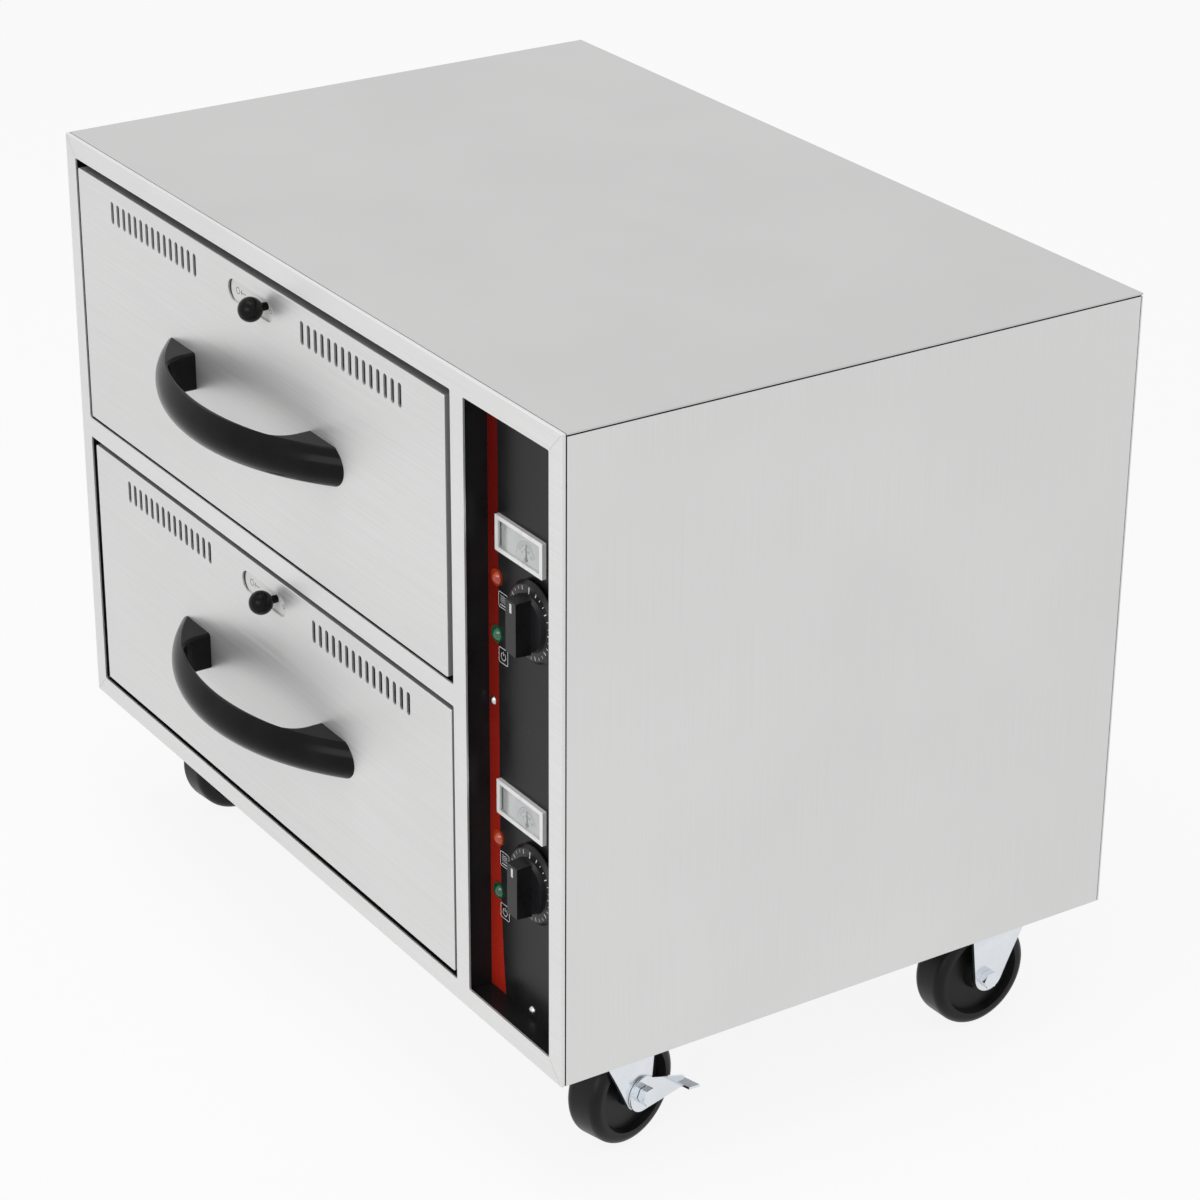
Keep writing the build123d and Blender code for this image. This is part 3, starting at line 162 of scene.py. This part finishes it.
# Directions of the grain: fine across, long along Z, X or Y.
UP, ALONG, BACK = (700, 700, 7), (7, 700, 700), (700, 7, 700)
finishes = {
    # The face, drawer, top and side steel are one stainless in lit and shaded copies: painted light, with
    # tones set for how light falls on each face and the top painted darkest.
    "face": steel("face_steel", 0.78, ALONG, rough=(0.34, 0.46), metallic=0.7),
    "drawer": steel("drawer_steel", 0.74, (9, 900, 900), rough=(0.34, 0.46), streak=0.045, metallic=0.65),
    "top": steel("top_steel", 0.58, ALONG, rough=(0.40, 0.48), streak=0.012, relief=0.05),
    "side": steel("side_steel", 0.735, (1100, 1100, 9), rough=(0.36, 0.48), streak=0.028, metallic=0.85),
    "inner": steel("inner_steel", 0.42, UP, rough=(0.42, 0.55), streak=0.05),
    "pan": steel("pan_steel", 0.62, grey(90), rough=(0.26, 0.31), streak=0.015, relief=0.04),
    "liner": steel("liner_steel", 0.50, grey(120), rough=(0.40, 0.50), streak=0.04, relief=0.06),
    "slide": steel("slide_zinc", 0.60, BACK, rough=(0.28, 0.42), streak=0.05, cast=(0.97, 1.0, 1.04)),
    "zinc": steel("caster_zinc", 0.80, (35, 35, 60), rough=(0.10, 0.22), streak=0.05, relief=0.05,
                  cast=(0.94, 0.98, 1.03)),
    "bright": steel("bright_steel", 0.60, grey(200), rough=(0.16, 0.28), streak=0.04),
    "element": steel("element_sheath", 0.20, grey(300), rough=(0.45, 0.62), streak=0.25, cast=(1, 0.9, 0.85)),
    "copper": steel("copper_tube", 0.62, grey(150), rough=(0.25, 0.4), streak=0.08, cast=(1.0, 0.62, 0.42)),
    # Vent slider painted near-black as painted shade, so the slots in front of it read as dark shaded
    # openings.
    "vent": steel("vent_plate_steel", 0.035, ALONG, rough=(0.5, 0.65), streak=0.10, metallic=0.4),
    "gloss": plastic("gloss_black", grey(0.004), grey(0.008), (0.14, 0.22), 500, 0.02, shine=0.10),
    "tray": plastic("tray_paint", (0.010, 0.010, 0.011), (0.018, 0.018, 0.019), (0.26, 0.36), 900, 0.08,
                    shine=0.14),
    "knob": plastic("knob_black", (0.008, 0.008, 0.009), (0.016, 0.016, 0.018), (0.24, 0.36), 800, 0.08,
                    shine=0.22),
    "tyre": plastic("wheel_black", grey(0.006), grey(0.013), (0.30, 0.44), 350, 0.12, shine=0.2),
    "bezel": plastic("bezel_white", (0.82, 0.82, 0.81), (0.90, 0.90, 0.89), (0.25, 0.35), 700, 0.04,
                     coat=0.3),
    "dial": plastic("dial_paper", (0.60, 0.61, 0.61), (0.70, 0.71, 0.71), (0.5, 0.6), 900, 0.05),
    "phenolic": plastic("switch_body", grey(0.02), (0.05, 0.045, 0.04), (0.5, 0.65), 300, 0.2),
    "ceramic": plastic("ceramic", (0.66, 0.65, 0.61), (0.78, 0.77, 0.73), (0.3, 0.45), 300, 0.1),
    "wool": plastic("mineral_wool", (0.34, 0.28, 0.10), (0.58, 0.50, 0.22), (0.9, 1.0), 260, 0.9),
    "orange": lens("lens_orange", (0.42, 0.03, 0.005), (0.62, 0.06, 0.009), 0.15, rough=(0.03, 0.07)),
    "green": lens("lens_green", (0.002, 0.07, 0.028), (0.006, 0.14, 0.055), 0.15, rough=(0.03, 0.07)),
    "clear": lens("lens_clear", (0.95, 0.97, 0.97), (0.98, 0.99, 0.99), 1.0, rough=(0.0, 0.02)),
    # Near-black used for painted shade in the seams and in the gaps round the drawers.
    "painted_shade": plastic("painted_shade_black", grey(0.004), grey(0.008), (0.6, 0.8), 600, 0.1, shine=0.05),
    "white_print": plastic("white_print", grey(0.62), grey(0.78), (0.4, 0.5), 700, 0.04),
    "black_print_and_painted_shade": plastic("black_print_and_painted_shade", grey(0.015), grey(0.03), (0.4, 0.5), 700, 0.04),
    # Red print, darkened towards its top as painted shade.
    "red_print_and_painted_shade": film_print_with_painted_shade("red_film", (0.46, 0.022, 0.010), (0.15, 0.006, 0.004)),
    "label": plastic("label_white", (0.66, 0.66, 0.65), (0.76, 0.76, 0.75), (0.35, 0.45), 700, 0.04),
}


def on_levels(*parts):
    return [f"{level}_{part}" for level in LEVELS for part in parts]


def on_corners(part, corners=CORNERS):
    return [f"{corner}_{part}" for corner in corners]


dressing = {
    "face": ["front_frame"],
    "drawer": on_levels("drawer_front"),
    "top": ["top_panel"],
    "side": ["left_side_panel", "right_side_panel", "back_panel"],
    "inner": ["base_pan", "divider_wall"] + on_levels("drawer_inner_panel", "drawer_frame"),
    "pan": on_levels("food_pan"),
    "liner": on_levels("cavity_liner"),
    "slide": ["fixed_slide_members"] + on_levels("mid_slide_members", "drawer_slide_members"),
    "zinc": ["caster_top_plates"] + on_corners("brake_lever", FRONT_CORNERS) + on_corners("caster_fork"),
    "bright": ["cabinet_screws", "caster_bolts", "element_clips"] + on_levels("handle_screws"),
    "element": ["heating_elements"],
    "copper": ["thermostat_bulbs"],
    "vent": on_levels("vent_slider"),
    "gloss": on_levels("handle", "vent_knob"),
    "tray": ["control_tray"],
    "knob": on_levels("thermostat_knob") + ["cable_gland"],
    "tyre": on_corners("wheel"),
    "bezel": ["thermometer_bezels"],
    "dial": ["thermometer_dials"],
    "phenolic": ["thermostats"],
    "ceramic": ["terminal_block"],
    "wool": ["insulation_slabs"],
    "orange": ["heat_lamps"],
    "green": ["power_lamps"],
    "clear": ["thermometer_lenses"],
    "black_print_and_painted_shade": on_levels("thermometer_needle"),
}
dressed = set()
for finish, names in dressing.items():
    for name in names:
        for material_slot in nodes[name].material_slots:
            material_slot.material = finishes[finish]
        dressed.add(name)
assert dressed == set(nodes), set(nodes) ^ dressed


# ---- printed and laid-on pieces ----
def lay_on(name, verts, faces, body, finish):
    """Add a piece from a mesh in mm, riding on a body."""
    mesh = bpy.data.meshes.new(name)
    mesh.from_pydata([(x * MM, y * MM, z * MM) for x, y, z in verts], [], faces)
    mesh.materials.append(finishes[finish])
    piece = bpy.data.objects.new(name, mesh)
    bpy.context.collection.objects.link(piece)
    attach(piece, body)


def ray(centre, angle, *radii):
    """Places at some distances from a centre, in one direction."""
    return [(centre[0] + radius * cos(angle), centre[1] + radius * sin(angle)) for radius in radii]


class Sheet:
    """Flat shapes in the X-Z plane, gathered into one mesh at a depth that may depend on the place."""

    def __init__(self):
        self.verts = []
        self.faces = []

    def polygon(self, points):
        start = len(self.verts)
        self.verts += [tuple(p) for p in points]
        self.faces.append(tuple(range(start, start + len(points))))

    def line(self, points, width, closed=False):
        """Strip of constant width along a row of points, with mitred corners."""
        count = len(points)
        sides = []
        for i, point in enumerate(points):
            here = Vector(point)
            before = Vector(points[i - 1]) if closed or i else None
            after = Vector(points[(i + 1) % count]) if closed or i < count - 1 else None
            first = (here - before).normalized() if before is not None else (after - here).normalized()
            second = (after - here).normalized() if after is not None else first
            normal = Vector((-(first + second).y, (first + second).x)).normalized()
            reach = width / 2 / max(0.4, normal.dot(Vector((-first.y, first.x))))
            sides.append((here + normal * reach, here - normal * reach))
        start = len(self.verts)
        self.verts += [tuple(p) for pair in sides for p in pair]
        for i in range(count if closed else count - 1):
            a, b = start + 2 * i, start + 2 * ((i + 1) % count)
            self.faces.append((a, b, b + 1, a + 1))

    def rounded(self, centre, size, radius, width=None):
        """Rectangle with round corners: a strip of a width, or filled."""
        points = []
        for quarter, (i, j) in enumerate(((1, 1), (-1, 1), (-1, -1), (1, -1))):
            corner = Vector((centre[0] + i * (size[0] / 2 - radius), centre[1] + j * (size[1] / 2 - radius)))
            for step in range(7):
                angle = (quarter + step / 6) * pi / 2
                points.append(corner + radius * Vector((cos(angle), sin(angle))))
        if width is None:
            self.polygon(points)
        else:
            self.line(points, width, closed=True)

    def arc(self, centre, radius, start, end, width, steps=24):
        """Strip along an arc, from one angle to another in degrees."""
        angles = [radians(start + (end - start) * i / steps) for i in range(steps + 1)]
        self.line([ray(centre, angle, radius)[0] for angle in angles], width)

    def number(self, text, centre, size):
        """Plain numerals, centred on a place."""
        curve = bpy.data.curves.new("numeral", "FONT")
        curve.body = text
        curve.size = size
        curve.align_x = "CENTER"
        curve.align_y = "CENTER"
        curve.resolution_u = 3
        holder = bpy.data.objects.new("numeral", curve)
        bpy.context.collection.objects.link(holder)
        mesh = holder.to_mesh()
        start = len(self.verts)
        self.verts += [tuple(Vector(centre) + Vector(vertex.co[:2])) for vertex in mesh.vertices]
        self.faces += [tuple(start + i for i in face.vertices) for face in mesh.polygons]
        bpy.data.objects.remove(holder)
        bpy.data.curves.remove(curve)

    def place(self, name, depth, body, slot, finish):
        """Make the piece at a depth in mm, a number or a function of x and z."""
        at = depth if callable(depth) else lambda x, z: depth
        lay_on(name, [(x, at(x, z), z) for x, z in self.verts], self.faces, body, finish)


class Solid:
    """Boxes gathered into one mesh."""

    def __init__(self):
        self.verts = []
        self.faces = []

    def box(self, low, high):
        start = len(self.verts)
        xs, ys, zs = zip(low, high)
        self.verts += [(x, y, z) for x in xs for y in ys for z in zs]
        for face in ((0, 1, 3, 2), (4, 6, 7, 5), (0, 4, 5, 1), (2, 3, 7, 6), (0, 2, 6, 4), (1, 5, 7, 3)):
            self.faces.append(tuple(start + i for i in face))

    def place(self, name, body, slot, finish):
        lay_on(name, self.verts, self.faces, body, finish)


# Places on the cabinet, in mm in the CAD frame.
FRONT_Y = -228.5
REAR_Y = 260.0
HALF_WIDTH = 370.0
BODY_FOOT, BODY_TOP = 110.0, 607.0
BAY_LEFT, BAY_RIGHT = -354.0, 228.5
BAYS_Z = ((126.5, 350.0), (367.0, 590.5))
TRAY_Y = FRONT_Y + 20.0
TRAY_LEFT, TRAY_FOOT, TRAY_TOP = 244.0, 125.0, 592.0
SETS = {"lower": 0.0, "upper": 204.6}
ICON_LEFT = 259.5
ICON_MIDDLE = ICON_LEFT + 4.0
HEAT_Z, POWER_Z = 236.4, 193.9
DIAL = (288.7, 287.9)
KNOB = (308.0, 239.4)
WINDOWS = {"lower": (-55.75, 324.65), "upper": (-59.75, 562.75)}

# How far films and prints stand in front of what they lie on.
FILM = 0.04
PRINT = 0.06

# Red film along the left of the strip, widening in a curve at its foot.
FILM_LEFT, FILM_FOOT, FILM_TOP = TRAY_LEFT + 0.2, TRAY_FOOT + 0.4, TRAY_TOP - 0.4
film_edge = [(264.2, FILM_FOOT), (261.2, 155.0), (259.2, 190.0), (258.0, 230.0), (257.4, 280.0),
             (257.4, FILM_TOP)]
film = Sheet()
film.polygon([(FILM_LEFT, FILM_FOOT)] + film_edge + [(FILM_LEFT, FILM_TOP)])
# The film's colour darkens towards its top: painted shade from the left wall of the tray.
film.place("red_film", TRAY_Y - FILM, "cabinet", "tray_black", "red_print_and_painted_shade")


def heat_sign(sheet, z):
    """Four wavy lines over a bar."""
    for row in range(4):
        wave_z = z + 3.2 - row * 1.5
        sheet.line([(ICON_LEFT + 0.6 + i * 0.85, wave_z + 0.35 * sin(i * 1.57)) for i in range(9)], 0.4)
    sheet.line([(ICON_LEFT + 0.4, z - 3.6), (ICON_LEFT + 7.6, z - 3.6)], 0.8)


def power_sign(sheet, z):
    """Open ring with a stroke in its gap."""
    sheet.arc((ICON_MIDDLE, z - 0.3), 2.9, 120, 420, 0.6)
    sheet.line([(ICON_MIDDLE, z + 0.4), (ICON_MIDDLE, z + 3.6)], 0.6)


marks = Sheet()
for lift in SETS.values():
    for z, sign in ((HEAT_Z + lift, heat_sign), (POWER_Z + lift, power_sign)):
        marks.rounded((ICON_MIDDLE, z), (11.5, 11.5), 1.4, 0.55)
        sign(marks, z)
marks.place("panel_marks", TRAY_Y - PRINT, "cabinet", "bezel_white", "white_print")

# Thermometer faces: two arcs, ticks and numbers printed, and dark lines at the left and top that are painted
# shadow of the bezel.
DIAL_Y = TRAY_Y - 3.2 + 2.3
OUTER_ARC, INNER_ARC = 13.0, 9.6
for level, lift in SETS.items():
    x, z = DIAL[0], DIAL[1] + lift
    face = Sheet()
    pivot = (x + 8.0, z - 7.0)
    face.arc(pivot, OUTER_ARC, 62, 178, 0.3)
    face.arc(pivot, INNER_ARC, 20, 160, 0.22)
    for step in range(21):
        tick_foot = 10.3 if step % 5 else INNER_ARC
        face.line(ray(pivot, radians(24 + step * 6.5), tick_foot, 12.0), 0.3)
    for step, text in enumerate(("90", "60", "30", "0")):
        face.number(text, ray(pivot, radians(28 + step * 40.0), 6.6)[0], 3.2)
    # Painted shadow: dark lines where the bezel shades the left and top of the dial.
    face.line([(x - 25.2, z - 9.2), (x - 25.2, z + 9.2)], 1.3)
    face.line([(x - 24.6, z + 9.3), (x + 25.6, z + 9.3)], 0.5)
    face.place(f"{level}_dial_marks_and_painted_shadow", DIAL_Y - PRINT, "cabinet", "needle_black", "black_print_and_painted_shade")

# Knobs: ticks round the cone-shaped skirt, and the grip's index mark.
HUB, RIM = 21.3, 27.5
SKIRT_Y, SKIRT_RISE = FRONT_Y + 13.0, 0.5
GRIP_Y = FRONT_Y - 1.5


def skirt_around(centre):
    """Depth of the skirt round a centre, as a function of x and z."""
    def depth(x, z):
        radius = sqrt((x - centre[0]) ** 2 + (z - centre[1]) ** 2)
        return SKIRT_Y + SKIRT_RISE * (radius - HUB) / (RIM - HUB) - PRINT
    return depth


for level, lift in SETS.items():
    centre = (KNOB[0], KNOB[1] + lift)
    ring = Sheet()
    for step in range(28):
        tick_foot, width = (24.4, 0.5) if step % 3 else (23.4, 0.75)
        ring.line(ray(centre, radians(70 - step * 11.85), tick_foot, 26.4), width)
    ring.line(ray(centre, pi / 2, 21.8, 26.6), 1.2)
    ring.place(f"{level}_knob_scale", skirt_around(centre), f"{level}_knob", "bezel_white", "white_print")
    index = Sheet()
    index.rounded((centre[0], centre[1] + 14.6), (2.6, 7.0), 0.6)
    index.place(f"{level}_knob_index", GRIP_Y - PRINT, f"{level}_knob", "bezel_white", "white_print")

# Plates seen in the windows of the drawer fronts, with a printed arrow and dots, and a dark crescent of
# painted shade where the window's edge shades the plate.
PLATE_Y = FRONT_Y + 1.5 + 0.3 - FILM
for level, (x, z) in WINDOWS.items():
    plate = Sheet()
    plate.rounded((x, z), (78.0, 20.0), 2.0)
    plate.place(f"{level}_window_plate", PLATE_Y, f"{level}_vent_control", "vent_plate", "label")
    sign = Sheet()
    sign.rounded((x - 22.0, z + 0.5), (5.0, 5.0), 2.4, 0.5)
    sign.line([(x - 15.5, z + 2.8), (x - 17.5, z + 0.5), (x - 15.5, z - 1.8)], 0.5)
    sign.line([(x - 17.3, z + 0.5), (x - 9.5, z + 0.5)], 0.5)
    # Painted shade: a dark crescent at the left end of the window, where its thick edge shades the plate.
    painted_shade_crescent = [(x - 36.0, z + 9.6)]
    for angle in range(75, -91, -15):
        painted_shade_crescent.append((x - 24.5 - 8.4 * cos(radians(angle)), z + 0.4 + 9.4 * sin(radians(angle))))
    sign.polygon(painted_shade_crescent + [(x - 36.0, z - 9.6)])
    sign.rounded((x + 29.0, z), (3.0, 3.0), 1.45, 0.5)
    sign.place(f"{level}_window_marks_and_painted_shade", PLATE_Y - PRINT, f"{level}_vent_control", "needle_black",
               "black_print_and_painted_shade")

# Painted shade: dark strips at the foot of the seams round the face plate and above the side panels, where
# the seams lie in shadow.
SEAM_Y = FRONT_Y + 3.0
painted_shade = Solid()
painted_shade.box((-369.6, SEAM_Y, BODY_TOP - 1.0), (369.6, FRONT_Y + 3.6, BODY_TOP - 0.25))
for side in (-1, 1):
    left, right = sorted((side * 368.9, side * 369.75))
    painted_shade.box((left, SEAM_Y, BODY_FOOT + 0.4), (right, FRONT_Y + 4.1, BODY_TOP - 1.3))
    painted_shade.box((left, FRONT_Y + 4.1, BODY_TOP - 2.25), (right, REAR_Y, BODY_TOP - 1.25))
painted_shade.place("seam_painted_shade", "cabinet", "tray_black", "painted_shade")

# Painted shade: dark strips on the folded returns of the drawer openings, clear of the drawer fronts, so the
# gaps round the drawers read shaded.
EDGE_NEAR, EDGE_FAR = FRONT_Y + 1.3, FRONT_Y + 13.8
EDGE, EDGE_GAP = 0.35, 0.02
gap_shade = Solid()
for low, high in BAYS_Z:
    for a, b in ((low + EDGE_GAP, low + EDGE), (high - EDGE, high - EDGE_GAP)):
        gap_shade.box((BAY_LEFT + 0.6, EDGE_NEAR, a), (BAY_RIGHT - 0.6, EDGE_FAR, b))
    for a, b in ((BAY_LEFT + EDGE_GAP, BAY_LEFT + EDGE), (BAY_RIGHT - EDGE, BAY_RIGHT - EDGE_GAP)):
        gap_shade.box((a, EDGE_NEAR, low + 0.6), (b, EDGE_FAR, high - 0.6))
gap_shade.place("opening_painted_shade", "cabinet", "tray_black", "painted_shade")

# Faint mitre seams at the corners of the face plate.
seams = Sheet()
for i, x in ((-1, -HALF_WIDTH), (1, HALF_WIDTH)):
    for j, z in ((1, BODY_TOP), (-1, BODY_FOOT)):
        seams.line([(x - i * 1.5, z - j * 1.5), (x - i * 15.2, z - j * 15.7)], 0.22)
seams.place("mitre_seams", FRONT_Y - 0.03, "cabinet", "stainless_face", "inner")


# ---- floor, light and camera ----
FLOOR_GREY, FLOOR_LIFT = 0.90, 0.88
FLOOR_HALF = 8.0
DIFFUSE_SKY = 0.55


def seen_rays(tree):
    """1 for camera, glossy and transmission rays, 0 for the rest."""
    path = add_node(tree, "ShaderNodeLightPath")
    seen = path.outputs["Is Camera Ray"]
    for other in ("Is Glossy Ray", "Is Transmission Ray"):
        join = add_node(tree, "ShaderNodeMath", operation="MAXIMUM")
        tree.links.new(seen, join.inputs[0])
        tree.links.new(path.outputs[other], join.inputs[1])
        seen = join.outputs["Value"]
    return seen


def backdrop_material(name, colour, share):
    """Pale surface that keeps shadows, lifted towards white where it is seen or reflected."""
    material = bpy.data.materials.new(name)
    material.use_nodes = True
    tree = material.node_tree
    tree.nodes.clear()
    output = add_node(tree, "ShaderNodeOutputMaterial")
    diffuse = add_node(tree, "ShaderNodeBsdfDiffuse")
    diffuse.inputs["Color"].default_value = (*colour, 1)
    glow = add_node(tree, "ShaderNodeEmission")
    glow.inputs["Strength"].default_value = 1.0
    scale = add_node(tree, "ShaderNodeMath", operation="MULTIPLY")
    scale.inputs[1].default_value = share
    mix = add_node(tree, "ShaderNodeMixShader")
    tree.links.new(seen_rays(tree), scale.inputs[0])
    tree.links.new(scale.outputs["Value"], mix.inputs["Fac"])
    tree.links.new(diffuse.outputs["BSDF"], mix.inputs[1])
    tree.links.new(glow.outputs["Emission"], mix.inputs[2])
    tree.links.new(mix.outputs["Shader"], output.inputs["Surface"])
    return material


floor_corners = [(i * FLOOR_HALF, j * FLOOR_HALF, 0) for i, j in ((-1, -1), (1, -1), (1, 1), (-1, 1))]
floor_mesh = bpy.data.meshes.new("floor")
floor_mesh.from_pydata(floor_corners, [], [(0, 1, 2, 3)])
floor_mesh.materials.append(backdrop_material("floor_pale", grey(FLOOR_GREY), FLOOR_LIFT))
floor = bpy.data.objects.new("floor", floor_mesh)
bpy.context.collection.objects.link(floor)

world = bpy.data.worlds.new("studio")
bpy.context.scene.world = world
world.use_nodes = True
tree = world.node_tree
background = tree.nodes["Background"]
sky_strength = add_node(tree, "ShaderNodeMapRange")
sky_strength.inputs["To Min"].default_value = DIFFUSE_SKY
sky_strength.inputs["To Max"].default_value = 1.0
tree.links.new(seen_rays(tree), sky_strength.inputs["Value"])
tree.links.new(sky_strength.outputs["Result"], background.inputs["Strength"])
background.inputs["Color"].default_value = (1, 1, 1, 1)


def area_light(name, place, target, size, power):
    lamp = bpy.data.lights.new(name, "AREA")
    lamp.shape = "RECTANGLE"
    lamp.size, lamp.size_y = size
    lamp.energy = power
    holder = bpy.data.objects.new(name, lamp)
    holder.location = place
    holder.rotation_euler = (Vector(target) - Vector(place)).to_track_quat("-Z", "Y").to_euler()
    bpy.context.collection.objects.link(holder)


area_light("key", (1.3, -2.6, 1.5), (0.1, 0, 0.35), (2.0, 1.4), 23)
area_light("overhead", (0.2, -0.6, 3.2), (0, 0, 0.4), (2.4, 1.2), 22)

# Camera fitted to points of the photo; the focal length is in thousands of pixels of a 1200 pixel frame.
FOCAL = 3.595325979651577
SENSOR = 36.0
camera = bpy.data.cameras.new("camera")
camera.sensor_fit = "HORIZONTAL"
camera.sensor_width = SENSOR
camera.lens = FOCAL * 1000 / 1200 * SENSOR
view_point = bpy.data.objects.new("camera", camera)
bpy.context.collection.objects.link(view_point)
bpy.context.scene.camera = view_point
view_point.matrix_world = Matrix([
    (0.544528, -0.361382, 0.756896, 2.173556),
    (0.838725, 0.228698, -0.494205, -1.375992),
    (0.005496, 0.903936, 0.427632, 1.500805),
    (0, 0, 0, 1),
])
bpy.context.scene.view_settings.view_transform = "Standard"
